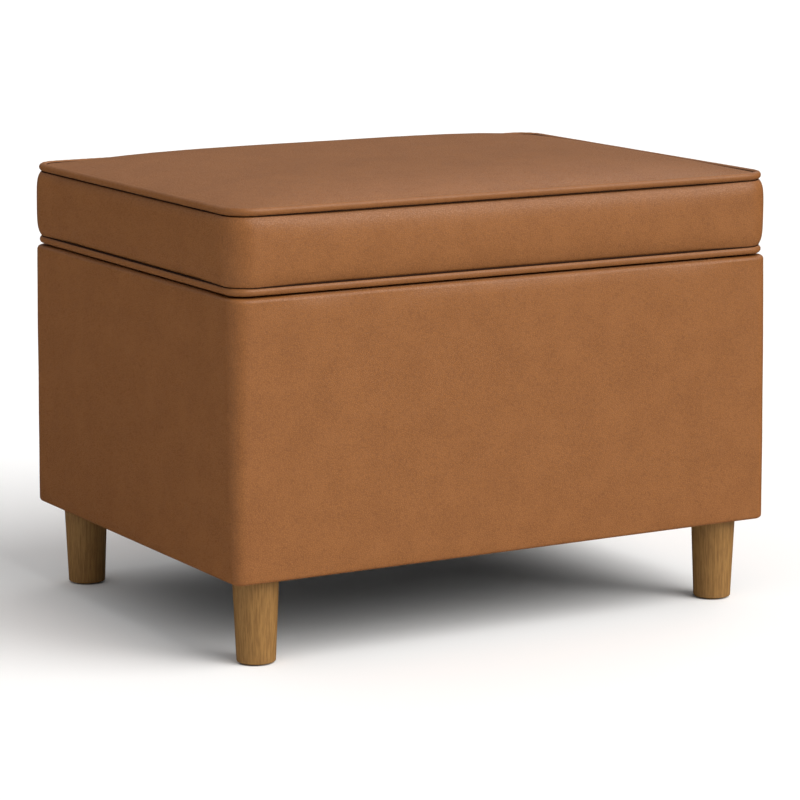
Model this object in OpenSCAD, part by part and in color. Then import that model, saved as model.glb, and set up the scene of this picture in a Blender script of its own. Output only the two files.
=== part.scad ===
// Storage ottoman: an upholstered box on four round legs, under a hinged, padded lid.
// Millimetres, +Z up, origin on the floor below the middle of the box. The front faces -Y.

/* [Box] */
// Outer width of the covered box
box_w = 610; // [480:1:900]
// Outer depth of the covered box
box_d = 457; // [380:1:640]
// Height of the covered box, from its underside to the top of its rim
box_h = 272.5; // [200:0.5:420]
// Floor to the underside of the box, which is the height of a leg and its glide
ground_clearance = 84; // [50:1:160]
// Thickness of the front, back and side panels
panel_t = 15; // [12:1:18]
// Thickness of the floor panel
floor_t = 9; // [5:1:15]
// Rounding of the bare frame's vertical corners
frame_corner_r = 8; // [6:1:12]
// Thickness of the padding on the outside of the panels
pad_t = 6.5; // [4:0.5:10]
// Thickness of the leather
leather_t = 1.5; // [1:0.1:2]
// How far the leather is turned under the box
cover_turn_under = 20; // [15:1:24]
// How far the leather comes down inside the rim
cover_turn_in = 32; // [20:1:60]
// Thickness of the lining boards
liner_t = 2; // [1:0.5:3]

/* [Legs] */
// Diameter at the top of a leg
leg_top_d = 45; // [36:1:56]
// Diameter at the foot of a leg
leg_foot_d = 38; // [26:1:48]
// Leg axis to the outer side faces of the box
leg_inset_x = 39.5; // [38:0.5:70]
// Leg axis to the outer front and back faces of the box
leg_inset_y = 37; // [36:0.5:70]
// Height of the corner blocks and cleats under the floor panel
block_h = 32; // [24:1:45]
// Side of the square corner blocks
block_side = 62; // [58:1:80]
// Diameter of the hanger bolts
bolt_d = 7.8; // [6:0.1:9.5]
// Length of the hanger bolts
bolt_l = 62; // [50:1:64]
// Height of a foot glide
glide_h = 1.5; // [1.5:0.5:5]
// Diameter of a foot glide
glide_d = 22; // [16:1:26]

/* [Lid] */
// Gap between the rim and the underside of the closed lid, filled by the hinge leaves
rim_gap = 2.4; // [2.4:0.1:4]
// Distance between the two welts, centre to centre
boxing_h = 75; // [55:1:110]
// Diameter of both welts
welt_d = 8; // [6:0.5:10]
// Diameter of the cord inside each welt
welt_cord_d = 5; // [3:0.5:5]
// Height of the crown above the top welt
crown_h = 15; // [10:1:35]
// How far the boxing swells past the faces of the box
boxing_bulge = 2; // [0:0.5:6]
// Bottom welt, set in from the faces of the box
bottom_welt_inset = 2; // [1:0.5:4]
// Top welt, set in from the faces of the box
top_welt_inset = 0; // [0:0.5:4]
// Corner rounding of the lid board
lid_board_corner_r = 12; // [8:1:16]
// Corner rounding of the boxing, a little more than that of the bottom welt
boxing_corner_r = 26; // [22:1:32]
// Corner rounding of the top welt, measured outside
top_welt_corner_r = 28; // [24:1:34]
// Thickness of the lid board
lid_board_t = 15; // [12:1:18]
// Thickness of the wadding over the foam
wadding_t = 8; // [4:1:12]

/* [Hinges] */
// Length of one hinge
hinge_l = 64; // [50:1:90]
// Hinge centre to the middle of the lid
hinge_x = 200; // [120:1:215]
// Thickness of a hinge leaf
leaf_t = 1; // [0.8:0.1:1]
// Hinge axis to the free edge of a leaf
leaf_w = 25; // [23:0.5:25]
// Outer radius of the knuckles
knuckle_r = 3; // [2.6:0.1:3.2]
// Radius of the hinge pins
pin_r = 1.5; // [1.2:0.1:1.6]

/* [Lid stays] */
// Length of each stay arm, pivot to pivot
arm_l = 130; // [110:1:140]
// Slope of the line from the hinge axis down to the box pivot, in degrees
stay_angle = 50; // [45:1:58]
// Depth of the lid pivot below the closed lid
lid_pivot_drop = 12; // [11:0.5:16]
// Width of a stay arm
arm_w = 16; // [13:1:18]
// Thickness of the stay's arms and brackets
steel_t = 2; // [1.5:0.5:2.5]

/* [Hidden] */
$fn = 64;

// Clearances
touch = 0.2;       // between soft layers
bolt_clear = 0.1;  // round a bolt in its hole
join = 0.1;        // overlap of two shapes of one piece
run_clear = 0.06;  // round a pin that something turns on
axial_clear = 0.3; // between parts that turn past each other
gap = 0.6;         // between the layers of a stay
top_gap = 0.8;     // between the two arms of a stay

// Heights, from the floor up
dust_t = 0.8;
lining_t = 1;
base_z = ground_clearance;
cover_z = base_z + dust_t;
frame_z = cover_z + leather_t;
rim_z = base_z + box_h;
frame_top_z = rim_z - leather_t;
floor_z = frame_z + block_h;
liner_floor_z = floor_z + floor_t;
liner_z = liner_floor_z + liner_t;
liner_top_z = rim_z - cover_turn_in;
lid_z = rim_z + rim_gap;
lip_z = lid_z + lining_t;
board_z = lip_z + leather_t;
foam_z = board_z + lid_board_t;
welt_r = welt_d / 2;
bottom_welt_z = lid_z + welt_r;
top_welt_z = bottom_welt_z + boxing_h;
top_z = top_welt_z + welt_r + crown_h;

// The frame is a bare box, and the padding and leather lie round it on the same corner centres
shell_t = pad_t + leather_t;
frame_w = box_w - 2 * shell_t;
frame_d = box_d - 2 * shell_t;
inner_w = frame_w - 2 * panel_t;
inner_d = frame_d - 2 * panel_t;
lined_w = inner_w - 2 * liner_t;
lined_d = inner_d - 2 * liner_t;
box_corner_r = frame_corner_r + shell_t;
rim_edge_r = 4;  // rounding of the leather at the rim of the box
foot_edge_r = 4; // and at its foot

// The lid board fills the inside of the bottom welt
board_inset = bottom_welt_inset + welt_d;
board_w = box_w - 2 * board_inset;
board_d = box_d - 2 * board_inset;
welt_line = bottom_welt_inset + welt_r;
welt_corner_r = lid_board_corner_r + welt_r;
top_welt_line = top_welt_inset + welt_r;
top_cover_inset = top_welt_inset + welt_d + 0.4;
top_cover_r = top_welt_corner_r - top_cover_inset + top_welt_inset;
lining_inset = 4;
boxing_lip = 20;

// Legs
leg_x = box_w / 2 - leg_inset_x;
leg_y = box_d / 2 - leg_inset_y;
leg_z = glide_h;
leg_h = ground_clearance - glide_h;
leg_edge_r = 1.2;
corners = [[-1, -1], [1, -1], [-1, 1], [1, 1]];
tee_flange_r = 11;
tee_flange_t = 1.5;
tee_barrel_l = 9;
tee_wall = 1.2;
tee_z = floor_z - tee_flange_t;
bolt_top_z = tee_z - 0.8;
bolt_foot_z = bolt_top_z - bolt_l;
tee_bore_r = bolt_d / 2 + bolt_clear;
glide_nail_r = 1.2;
glide_nail_l = 12;

// Hinge axis: behind the bottom welt, half way up the gap
hinge_y = box_d / 2 - bottom_welt_inset + knuckle_r + axial_clear;
hinge_z = rim_z + rim_gap / 2;
knuckles = 5;
knuckle_l = (hinge_l - (knuckles - 1) * axial_clear) / knuckles;
leaf_root = knuckle_r + 0.4; // nearest that a leaf comes to the other leaf's knuckles
leaf_screw_y = hinge_y - leaf_w + 7.5;
leaf_screw_x = [-22, 0, 22];

// Stays: the hinge axis, the two pivots and the elbow are the corners of a rhombus,
// so each arm stays parallel to the side opposite it while the lid turns
lid_pivot = [hinge_y - sqrt(arm_l^2 - (hinge_z - lid_z + lid_pivot_drop)^2), lid_z - lid_pivot_drop];
box_pivot = [hinge_y - arm_l * cos(stay_angle), hinge_z - arm_l * sin(stay_angle)];
elbow = box_pivot + lid_pivot - [hinge_y, hinge_z];
rivet_r = 3;
rivet_head_r = 5.5;
rivet_head_t = 1.2;
shoulder_r = 4.5;
wall_x = lined_w / 2;
bracket_x = wall_x - steel_t;       // inner face of the box bracket
lower_arm_x = bracket_x - gap;      // outer face of the lower arm and of the lid bracket
upper_arm_x = lower_arm_x - steel_t - top_gap;
stay_inner_x = upper_arm_x - steel_t;
flange_w = 15;
lid_bracket_l = 44;
box_bracket_w = 26;
box_bracket_l = 62;            // measured down from the top of the bracket
box_bracket_screws = [20, 40]; // below the pivot
stop_tab = [2, 5];

// Wood screws
screw_r = 1.75;
screw_head_r = 3.4;
hinge_screw_l = 16;
stay_screw_l = 13;
frame_screw_r = 2.5;
frame_screw_head_r = 4.5;
frame_screw_head_t = 3;
frame_screw_l = 46;
frame_screw_sink = 2.5; // heads lie this far under the face, inside the rounding of the corners
frame_screw_z = [for (i = [0:2]) frame_z + 45 + i * (frame_top_z - frame_z - 90) / 2];
frame_screw_x = inner_w / 2 + panel_t / 2;

// Staples round the dust cover
dust_inset = 10;
staple = [10, 0.9, 0.6];
staple_pitch = 50;

leather = [0.62, 0.39, 0.22];
leather_dark = [0.45, 0.28, 0.16];
oak = [0.60, 0.44, 0.24];
ply = [0.80, 0.66, 0.46];
pine = [0.86, 0.72, 0.50];
foam_yellow = [0.93, 0.87, 0.62];
white_soft = [0.93, 0.93, 0.91];
black_cloth = [0.10, 0.10, 0.11];
black_steel = [0.14, 0.14, 0.15];
zinc = [0.70, 0.70, 0.68];

// ---- Shapes that repeat ----

// A rectangle w by d with round corners, centred
module rounded_rect(w, d, r) {
    square([w - 2 * r, d], center = true);
    square([w, d - 2 * r], center = true);
    for (c = corners)
        translate([c[0] * (w / 2 - r), c[1] * (d / 2 - r)]) circle(r);
}

// Carries a 2D outline round a rectangle w by d of corner radius r: x is outward from the line, y is up
module around(w, d, r) {
    for (side = [0:3]) rotate(side * 90) {
        reach = side % 2 == 0 ? w / 2 : d / 2;
        run = (side % 2 == 0 ? d / 2 : w / 2) - r;
        translate([reach, run, 0]) rotate([90, 0, 0]) linear_extrude(2 * run) children();
        translate([reach - r, run, 0]) rotate_extrude(angle = 90) translate([r, 0]) children();
    }
}

// An upright slab between two heights
module slab(z0, z1) {
    translate([0, 0, z0]) linear_extrude(z1 - z0) children();
}

// Places a child once, and again mirrored to the other side
module both_sides() {
    children();
    mirror([1, 0, 0]) children();
}

// Puts a right-hand child on the right for side 1, or on the left for side -1
module on_side(side) {
    if (side > 0) children();
    else mirror([1, 0, 0]) children();
}

// A disc or tube across the box: outline in the Y-Z plane, from x0 inwards to x1, with x1 < x0
module across(x0, x1) {
    translate([x1, 0, 0]) rotate([90, 0, 90]) linear_extrude(x0 - x1) children();
}

// A flat bar with round ends between two points
module bar(a, b, w) {
    d = b - a;
    translate(a) rotate(atan2(d[1], d[0])) {
        translate([0, -w / 2]) square([norm(d), w]);
        circle(w / 2);
        translate([norm(d), 0]) circle(w / 2);
    }
}

// ---- Frame ----

module frame_outline() {
    rounded_rect(frame_w, frame_d, frame_corner_r);
}

// Places a child at each screw that joins the panels, pointing in from the front or back face
module at_frame_screws() {
    for (c = corners, z = frame_screw_z)
        translate([c[0] * frame_screw_x, c[1] * frame_d / 2, z]) rotate([c[1] * 90, 0, 0]) children();
}

module frame_screw_holes() {
    at_frame_screws() {
        cylinder(r = frame_screw_r, h = frame_screw_sink + frame_screw_l);
        cylinder(r = frame_screw_head_r, h = frame_screw_sink + frame_screw_head_t);
    }
}

// side is -1 for the front and 1 for the back
module long_panel(side) {
    difference() {
        slab(frame_z, frame_top_z) intersection() {
            frame_outline();
            translate([-frame_w / 2, side > 0 ? inner_d / 2 : -frame_d / 2]) square([frame_w, panel_t]);
        }
        frame_screw_holes();
        if (side > 0) hinge_screw_shanks(rim_z, -1);
    }
}

module front_panel() { color(ply) long_panel(-1); }
module back_panel() { color(ply) long_panel(1); }

// side is -1 for the left and 1 for the right
module side_panel(side) {
    difference() {
        slab(frame_z, frame_top_z)
            translate([side > 0 ? inner_w / 2 : -frame_w / 2, -inner_d / 2]) square([panel_t, inner_d]);
        frame_screw_holes();
        on_side(side) stay_box_screw_shanks();
    }
}

module left_panel() { color(ply) side_panel(-1); }
module right_panel() { color(ply) side_panel(1); }

module floor_panel() {
    color(ply) slab(floor_z, liner_floor_z) square([inner_w - 0.4, inner_d - 0.4], center = true);
}

cleat_w = 20;

module front_back_cleats() {
    color(pine) for (side = [-1, 1])
        slab(frame_z, floor_z) translate([0, side * (inner_d - cleat_w) / 2])
            square([inner_w - 2 * block_side, cleat_w], center = true);
}

module side_cleats() {
    color(pine) for (side = [-1, 1])
        slab(frame_z, floor_z) translate([side * (inner_w - cleat_w) / 2, 0])
            square([cleat_w, inner_d - 2 * block_side], center = true);
}

module leg_block(c) {
    difference() {
        slab(frame_z, floor_z)
            translate([c[0] * (inner_w - block_side) / 2, c[1] * (inner_d - block_side) / 2])
                square(block_side, center = true);
        translate([c[0] * leg_x, c[1] * leg_y, 0]) {
            translate([0, 0, frame_z - 1]) cylinder(r = tee_bore_r + tee_wall, h = block_h + 2);
            translate([0, 0, tee_z]) cylinder(r = tee_flange_r, h = tee_flange_t + 1);
        }
    }
}

module frame_screws() {
    color(zinc) at_frame_screws() translate([0, 0, frame_screw_sink]) {
        cylinder(r = frame_screw_r, h = frame_screw_l);
        cylinder(r = frame_screw_head_r, h = frame_screw_head_t);
    }
}

// ---- Legs ----

module leg(c) {
    foot_r = leg_foot_d / 2;
    color(oak) translate([c[0] * leg_x, c[1] * leg_y, 0]) difference() {
        translate([0, 0, leg_z]) rotate_extrude() polygon(concat(
            [[0, 0]],
            [for (a = [0:15:90])
                [foot_r - leg_edge_r + leg_edge_r * sin(a), leg_edge_r - leg_edge_r * cos(a)]],
            [[leg_top_d / 2, leg_h], [0, leg_h]]));
        translate([0, 0, bolt_foot_z]) cylinder(d = bolt_d, h = bolt_l);
        translate([0, 0, leg_z - 1]) cylinder(r = glide_nail_r, h = glide_nail_l + 1);
    }
}

module hanger_bolts() {
    color(zinc) for (c = corners)
        translate([c[0] * leg_x, c[1] * leg_y, bolt_foot_z]) cylinder(d = bolt_d, h = bolt_l);
}

module tee_nuts() {
    color(zinc) for (c = corners)
        translate([c[0] * leg_x, c[1] * leg_y, 0]) difference() {
            union() {
                translate([0, 0, tee_z]) cylinder(r = tee_flange_r, h = tee_flange_t);
                translate([0, 0, tee_z - tee_barrel_l])
                    cylinder(r = tee_bore_r + tee_wall, h = tee_barrel_l + join);
            }
            translate([0, 0, tee_z - tee_barrel_l - 1])
                cylinder(r = tee_bore_r, h = tee_barrel_l + tee_flange_t + 2);
        }
}

module foot_glides() {
    color(black_cloth) for (c = corners) translate([c[0] * leg_x, c[1] * leg_y, 0]) {
        cylinder(r1 = glide_d / 2 - 1, r2 = glide_d / 2, h = 1);
        translate([0, 0, 1]) cylinder(r = glide_d / 2, h = glide_h - 1);
        translate([0, 0, glide_h - join]) cylinder(r = glide_nail_r, h = glide_nail_l + join);
    }
}

// ---- Upholstery of the box ----

// A solid box of width w, depth d and corner radius r whose rim is rounded by rim_r and whose foot by foot_r
module soft_box(w, d, r, z0, z1, rim_r, foot_r) {
    slab(z0 + foot_r, z1 - rim_r) rounded_rect(w, d, r);
    slab(z0, z1) rounded_rect(w - 2 * rim_r, d - 2 * rim_r, r - rim_r);
    slab(z0, z0 + foot_r + 1) rounded_rect(w - 2 * foot_r, d - 2 * foot_r, r - foot_r);
    around(w - 2 * rim_r, d - 2 * rim_r, r - rim_r) translate([0, z1 - rim_r]) quarter(rim_r);
    around(w - 2 * foot_r, d - 2 * foot_r, r - foot_r)
        translate([0, z0 + foot_r]) mirror([0, 1]) quarter(foot_r);
}

module quarter(r) {
    intersection() {
        circle(r);
        square(r);
    }
}

module box_padding() {
    color(white_soft) difference() {
        soft_box(box_w - 2 * leather_t, box_d - 2 * leather_t, box_corner_r - leather_t,
            frame_z, frame_top_z, rim_edge_r - leather_t, foot_edge_r - leather_t);
        slab(frame_z - 1, frame_top_z + 1) frame_outline();
    }
}

module box_cover() {
    color(leather) difference() {
        soft_box(box_w, box_d, box_corner_r, cover_z, rim_z, rim_edge_r, foot_edge_r);
        soft_box(box_w - 2 * leather_t, box_d - 2 * leather_t, box_corner_r - leather_t,
            frame_z, frame_top_z, rim_edge_r - leather_t, foot_edge_r - leather_t);
        slab(liner_top_z, rim_z + 1)
            square([inner_w - 2 * leather_t, inner_d - 2 * leather_t], center = true);
        slab(cover_z - 1, frame_z + 1)
            rounded_rect(box_w - 2 * cover_turn_under, box_d - 2 * cover_turn_under, 2);
        hinge_screw_shanks(rim_z, -1);
    }
    color(leather) rim_turn_in();
}

// The leather that comes down the inside of the rim
module rim_turn_in() {
    slab(liner_top_z, frame_top_z + 0.5) difference() {
        square([inner_w, inner_d], center = true);
        square([inner_w - 2 * leather_t, inner_d - 2 * leather_t], center = true);
    }
}

module dust_cover() {
    color(black_cloth) slab(base_z, cover_z) difference() {
        rounded_rect(box_w - 2 * dust_inset, box_d - 2 * dust_inset, box_corner_r);
        for (c = corners) translate([c[0] * leg_x, c[1] * leg_y]) circle(d = bolt_d + 2 * bolt_clear);
    }
}

// Centres of a row of staples with even gaps, along a run of that length
function staple_row(run) = let (n = floor(run / staple_pitch))
    [for (i = [0:n]) (i - n / 2) * staple_pitch];

module dust_cover_staples() {
    // the rows end short of the legs
    long_run = 2 * leg_x - leg_top_d - 2 * staple[0];
    short_run = 2 * leg_y - leg_top_d - 2 * staple[0];
    row_in = dust_inset + 5;
    color(zinc) {
        for (x = staple_row(long_run), side = [-1, 1])
            translate([x, side * (box_d / 2 - row_in), base_z - staple[2] / 2])
                cube(staple, center = true);
        for (y = staple_row(short_run), side = [-1, 1])
            translate([side * (box_w / 2 - row_in), y, base_z - staple[2] / 2])
                rotate(90) cube(staple, center = true);
    }
}

// ---- Lining ----

module liner_long(side) {
    slab(liner_z, liner_top_z)
        translate([-inner_w / 2, side > 0 ? lined_d / 2 : -inner_d / 2]) square([inner_w, liner_t]);
}

module liner_short(side) {
    difference() {
        slab(liner_z, liner_top_z)
            translate([side > 0 ? lined_w / 2 : -inner_w / 2, -lined_d / 2]) square([liner_t, lined_d]);
        on_side(side) stay_box_screw_shanks();
    }
}

module liner_front() { color(black_cloth) liner_long(-1); }
module liner_back() { color(black_cloth) liner_long(1); }
module liner_left() { color(black_cloth) liner_short(-1); }
module liner_right() { color(black_cloth) liner_short(1); }

module liner_floor() {
    color(black_cloth) slab(liner_floor_z, liner_z) square([inner_w - 0.4, inner_d - 0.4], center = true);
}

bumper_r = 5;

module rim_bumpers() {
    color(black_cloth) for (side = [-1, 1])
        translate([side * (inner_w / 2 - 50), -(inner_d + panel_t) / 2, rim_z])
            cylinder(r = bumper_r, h = rim_gap - axial_clear);
}

// ---- Lid ----

// Outline under a crown that is h high in the middle and drops to nothing at the edges
function crown_line(half, h) = [for (i = [-12:12]) let (t = i / 12)
    [t * half, h * (1 - abs(t)^4)]];

module vault(half, z0, edge_z, h) {
    polygon(concat([[-half, z0]], [for (p = crown_line(half, h)) [p[0], edge_z + p[1]]], [[half, z0]]));
}

// A block w by d from z0 up to a crown that starts at edge_z
module crowned_block(w, d, r, z0, edge_z, h) {
    intersection() {
        slab(z0, edge_z + h + 1) rounded_rect(w, d, r);
        translate([0, d, 0]) rotate([90, 0, 0]) linear_extrude(2 * d) vault(w / 2, z0, edge_z, h);
        translate([-w, 0, 0]) rotate([90, 0, 90]) linear_extrude(2 * w) vault(d / 2, z0, edge_z, h);
    }
}

top_cover_z = top_welt_z + 2;           // leather's upper face beside the top welt
top_rise = top_z - top_cover_z;
wadding_top_z = top_cover_z - leather_t - touch;
foam_edge_z = wadding_top_z - wadding_t;
wadding_r = top_welt_corner_r - (board_inset - top_welt_inset); // upper layer, inside the top welt

module lid_board() {
    color(ply) difference() {
        slab(board_z, foam_z) rounded_rect(board_w, board_d, lid_board_corner_r);
        hinge_screw_shanks(lid_z, 1);
        both_sides() stay_lid_screw_shanks();
    }
}

module lid_foam() {
    color(foam_yellow)
        crowned_block(board_w, board_d, lid_board_corner_r, foam_z, foam_edge_z, top_rise);
}

// Outer line of the boxing, which swells between the seams
boxing_z0 = bottom_welt_z + welt_r + touch;
boxing_z1 = top_welt_z - welt_r - touch;
boxing_foot_x = -bottom_welt_inset - 1.5;
boxing_head_x = -top_welt_inset - 1.5;
function boxing_x(t) = boxing_foot_x + (boxing_head_x - boxing_foot_x) * t
    + (boxing_bulge - (boxing_foot_x + boxing_head_x) / 2) * (1 - abs(2 * t - 1)^3.5);
boxing_steps = 14;
boxing_line = [for (i = [0:boxing_steps]) let (t = i / boxing_steps)
    [boxing_x(t), boxing_z0 + (boxing_z1 - boxing_z0) * t]];

// The boxing's outline, moved inwards by an amount, down to a straight inner face
module boxing_outline(move, inner) {
    polygon(concat([for (p = boxing_line) [p[0] - move, p[1]]], [[inner, boxing_z1], [inner, boxing_z0]]));
}

module lid_boxing() {
    color(leather) {
        around(box_w, box_d, boxing_corner_r) difference() {
            boxing_outline(0, -welt_d);
            boxing_outline(leather_t, -2 * welt_d);
        }
        slab(lip_z, board_z) difference() {
            rounded_rect(board_w, board_d, lid_board_corner_r);
            rounded_rect(board_w - 2 * boxing_lip, board_d - 2 * boxing_lip, 2);
            for (p = hinge_screw_points()) translate(p) circle(screw_r);
            both_sides() for (p = stay_lid_screw_points()) translate(p) circle(screw_r);
        }
    }
}

module lid_wadding() {
    inner = -board_inset + touch;
    color(white_soft) {
        difference() {
            around(box_w, box_d, boxing_corner_r) intersection() {
                boxing_outline(leather_t + touch, inner);
                translate([inner, foam_z]) square([board_inset + boxing_bulge, boxing_z1 - foam_z]);
            }
            slab(foam_z - 1, boxing_z1 + 1) rounded_rect(board_w, board_d, lid_board_corner_r);
        }
        difference() {
            crowned_block(board_w, board_d, wadding_r, foam_edge_z, wadding_top_z, top_rise);
            crowned_block(board_w, board_d, wadding_r, foam_edge_z - 1, foam_edge_z + touch / 2, top_rise);
        }
    }
}

module lid_top_cover() {
    w = box_w - 2 * top_cover_inset;
    d = box_d - 2 * top_cover_inset;
    color(leather) difference() {
        crowned_block(w, d, top_cover_r, top_cover_z - leather_t, top_cover_z, top_rise);
        crowned_block(w, d, top_cover_r, top_cover_z - 2 * leather_t - 1,
            top_cover_z - leather_t, top_rise);
    }
}

// Carries a child along the line of a welt: w is how far in it lies, its height and its corner radius
module along_welt(w) {
    around(box_w - 2 * w[0], box_d - 2 * w[0], w[2]) translate([0, w[1]]) children();
}

top_welt_path = [top_welt_line, top_welt_z, top_welt_corner_r - welt_r];
bottom_welt_path = [welt_line, bottom_welt_z, welt_corner_r];

module welt_leather() {
    difference() {
        circle(welt_r);
        circle(d = welt_cord_d);
    }
}

module lid_top_welt() { color(leather_dark) along_welt(top_welt_path) welt_leather(); }
module lid_bottom_welt() { color(leather_dark) along_welt(bottom_welt_path) welt_leather(); }

module welt_cords() {
    color(white_soft) for (path = [top_welt_path, bottom_welt_path])
        along_welt(path) circle(d = welt_cord_d);
}

module lid_lining() {
    color(black_cloth) difference() {
        slab(lid_z, lip_z) rounded_rect(board_w - 2 * lining_inset, board_d - 2 * lining_inset, 8);
        hinge_screw_shanks(lid_z, 1);
        both_sides() stay_lid_screw_shanks();
    }
}

// ---- Hinges ----

function hinge_screw_points() = [for (side = [-1, 1], x = leaf_screw_x) [side * hinge_x + x, leaf_screw_y]];

// Shanks of the hinge screws from height z, up for way 1 or down for way -1
module hinge_screw_shanks(z, way) {
    for (p = hinge_screw_points()) translate([p[0], p[1], way > 0 ? z - 1 : z - hinge_screw_l])
        cylinder(r = screw_r, h = hinge_screw_l + 1);
}

// The tapered hole, or head, of a countersunk screw: wide side away from the wood
module countersink(z, way) {
    translate([0, 0, z]) mirror([0, 0, way > 0 ? 1 : 0])
        cylinder(r1 = screw_r, r2 = screw_head_r, h = leaf_t);
}

// Every other knuckle from first, about the hinge axis
module knuckle_row(first) {
    for (i = [first:2:knuckles - 1])
        translate([-hinge_l / 2 + i * (knuckle_l + axial_clear), 0, 0]) rotate([90, 0, 90])
            linear_extrude(knuckle_l) children();
}

// One leaf, below the axis for way -1 and above it for way 1
module hinge_leaf(side, way) {
    leaf_z = way > 0 ? lid_z - leaf_t : rim_z;
    first = way > 0 ? 1 : 0;
    bore = pin_r + (way > 0 ? run_clear : 0);
    color(black_steel) difference() {
        union() {
            translate([side * hinge_x - hinge_l / 2, hinge_y - leaf_w, leaf_z])
                cube([hinge_l, leaf_w - leaf_root, leaf_t]);
            translate([side * hinge_x, hinge_y, hinge_z]) knuckle_row(first) {
                circle(knuckle_r);
                translate([-leaf_root - 0.5, leaf_z - hinge_z]) square([leaf_root + 0.5, leaf_t]);
            }
        }
        translate([side * hinge_x - hinge_l / 2 - 1, hinge_y, hinge_z]) rotate([0, 90, 0])
            cylinder(r = bore, h = hinge_l + 2);
        for (x = leaf_screw_x) translate([side * hinge_x + x, leaf_screw_y, 0])
            countersink(way > 0 ? lid_z : rim_z, way);
    }
}

module hinge_pins() {
    head_l = 1;
    color(zinc) for (side = [-1, 1])
        translate([side * hinge_x - hinge_l / 2 - head_l, hinge_y, hinge_z]) rotate([0, 90, 0]) {
            cylinder(r = pin_r, h = hinge_l + head_l);
            cylinder(r = pin_r + 0.6, h = head_l);
        }
}

module hinge_screws(z, way) {
    color(zinc) for (p = hinge_screw_points()) translate([p[0], p[1], 0]) {
        countersink(z, way);
        translate([0, 0, way > 0 ? z : z - hinge_screw_l]) cylinder(r = screw_r, h = hinge_screw_l);
    }
}

module hinge_box_screws() { hinge_screws(rim_z, -1); }
module hinge_lid_screws() { hinge_screws(lid_z, 1); }

// ---- Lid stays: drawn on the right, and mirrored to the left ----

function stay_lid_screw_points() = [for (way = [-1, 1])
    [lower_arm_x - steel_t - (flange_w - steel_t) / 2, lid_pivot[0] + way * lid_bracket_l / 3]];
function stay_box_screw_points() = [for (drop = box_bracket_screws) box_pivot - [0, drop]];

module stay_box_screw_shanks() {
    for (p = stay_box_screw_points()) across(wall_x + stay_screw_l, wall_x - 1) translate(p) circle(screw_r);
}

module stay_lid_screw_shanks() {
    for (p = stay_lid_screw_points())
        translate([p[0], p[1], lid_z - 1]) cylinder(r = screw_r, h = stay_screw_l + 1);
}

// The bracket screwed to the side wall, with a folded tab that stops the lower arm when the lid is open
module stay_box_bracket(side) {
    color(black_steel) on_side(side)
        across(wall_x, lower_arm_x - steel_t) translate(box_pivot + [arm_w / 2 + axial_clear, stop_tab[1]])
            square([stop_tab[0], stop_tab[1]]);
    color(black_steel) on_side(side) across(wall_x, bracket_x) difference() {
        translate(box_pivot + [0, (box_bracket_w - box_bracket_l) / 2])
            rounded_rect(box_bracket_w, box_bracket_l, 8);
        translate(box_pivot) circle(rivet_r);
        for (p = stay_box_screw_points()) translate(p) circle(screw_r);
    }
}

module stay_lid_bracket(side) {
    color(black_steel) on_side(side) {
        across(lower_arm_x, lower_arm_x - steel_t) difference() {
            union() {
                translate(lid_pivot) circle(arm_w / 2);
                translate(lid_pivot - [arm_w / 2, 0]) square([arm_w, lid_pivot_drop]);
            }
            translate(lid_pivot) circle(rivet_r);
        }
        difference() {
            translate([lower_arm_x - flange_w, lid_pivot[0] - lid_bracket_l / 2, lid_z - steel_t])
                cube([flange_w, lid_bracket_l, steel_t]);
            for (p = stay_lid_screw_points())
                translate([p[0], p[1], lid_z - steel_t - 1]) cylinder(r = screw_r, h = steel_t + 2);
        }
    }
}

// One arm between two pivots, with a fixed hole at one end or running holes
module stay_arm(from, to, hole_from, hole_to) {
    difference() {
        bar(from, to, arm_w);
        translate(from) circle(hole_from);
        translate(to) circle(hole_to);
    }
}

module stay_lower_arm(side) {
    color(black_steel) on_side(side) across(lower_arm_x, lower_arm_x - steel_t)
        stay_arm(box_pivot, elbow, rivet_r + run_clear, rivet_r);
}

module stay_upper_arm(side) {
    color(black_steel) on_side(side) across(upper_arm_x, stay_inner_x)
        stay_arm(lid_pivot, elbow, rivet_r + run_clear, rivet_r + run_clear);
}

// A rivet along X at a point: its shank from x0 to past x1, a head there, and another outside x0 if asked
module rivet(at, x0, x1, outer_head) {
    head_x = x1 - axial_clear;
    across(x0, head_x) translate(at) circle(rivet_r);
    across(head_x, head_x - rivet_head_t) translate(at) circle(rivet_head_r);
    if (outer_head) across(x0 + rivet_head_t, x0) translate(at) circle(rivet_head_r);
}

// The shoulder of a rivet, which keeps the layer at x1 off the layer at x0
module shoulder(at, x0, x1) {
    across(x0, x1 + axial_clear) translate(at) circle(shoulder_r);
}

module stay_elbow_rivet(side) {
    color(zinc) on_side(side) {
        rivet(elbow, lower_arm_x, stay_inner_x, true);
        shoulder(elbow, lower_arm_x - steel_t, upper_arm_x);
    }
}

module stay_box_rivets() {
    color(zinc) both_sides() {
        rivet(box_pivot, wall_x, lower_arm_x - steel_t, false);
        shoulder(box_pivot, bracket_x, lower_arm_x);
    }
}

module stay_lid_rivets() {
    color(zinc) both_sides() {
        rivet(lid_pivot, lower_arm_x, stay_inner_x, true);
        shoulder(lid_pivot, lower_arm_x - steel_t, upper_arm_x);
    }
}

screw_head_t = 1.6;

module stay_box_screws() {
    color(zinc) both_sides() for (p = stay_box_screw_points()) {
        across(wall_x + stay_screw_l, bracket_x) translate(p) circle(screw_r);
        across(bracket_x, bracket_x - screw_head_t) translate(p) circle(screw_head_r);
    }
}

module stay_lid_screws() {
    color(zinc) both_sides() for (p = stay_lid_screw_points()) translate([p[0], p[1], lid_z - steel_t]) {
        cylinder(r = screw_r, h = stay_screw_l + steel_t);
        translate([0, 0, -screw_head_t]) cylinder(r = screw_head_r, h = screw_head_t);
    }
}

// ---- Nodes ----

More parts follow.
